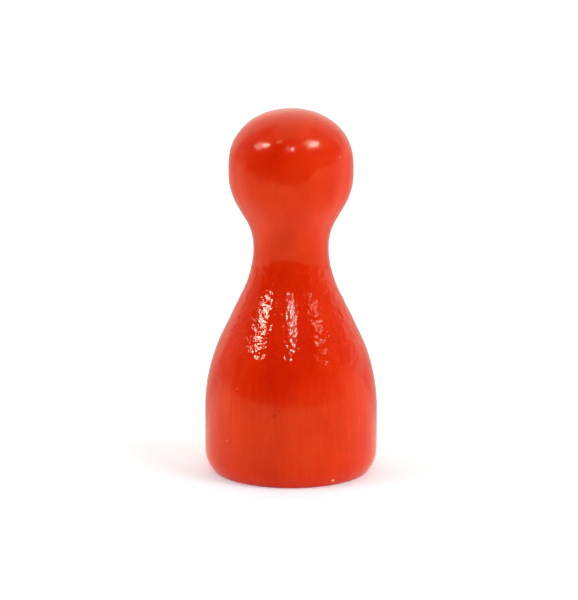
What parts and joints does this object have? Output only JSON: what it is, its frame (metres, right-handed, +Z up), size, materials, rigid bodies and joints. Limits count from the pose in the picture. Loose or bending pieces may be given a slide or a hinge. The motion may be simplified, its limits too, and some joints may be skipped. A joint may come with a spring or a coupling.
{
  "type": "game pawn",
  "caption": "Turned wooden board game pawn with a round head, narrow neck and flared body, coated in glossy red lacquer, with a flat bare-wood foot.",
  "frame": {"origin": "middle of the flat foot", "axes": "+Z up the turning axis, from the foot to the crown of the head; X and Y are alike, because the pawn is round"},
  "size_m": [0.012, 0.012, 0.0253],
  "materials": {
    "beech": "faced end grain, bare and unpolished",
    "red_lacquer": "glossy orange-red wood lacquer, with the grain and small ripples showing through"
  },
  "bodies": {
    "root": {"turned_body": "beech", "lacquer_coat": "red_lacquer"}
  },
  "joints": []
}
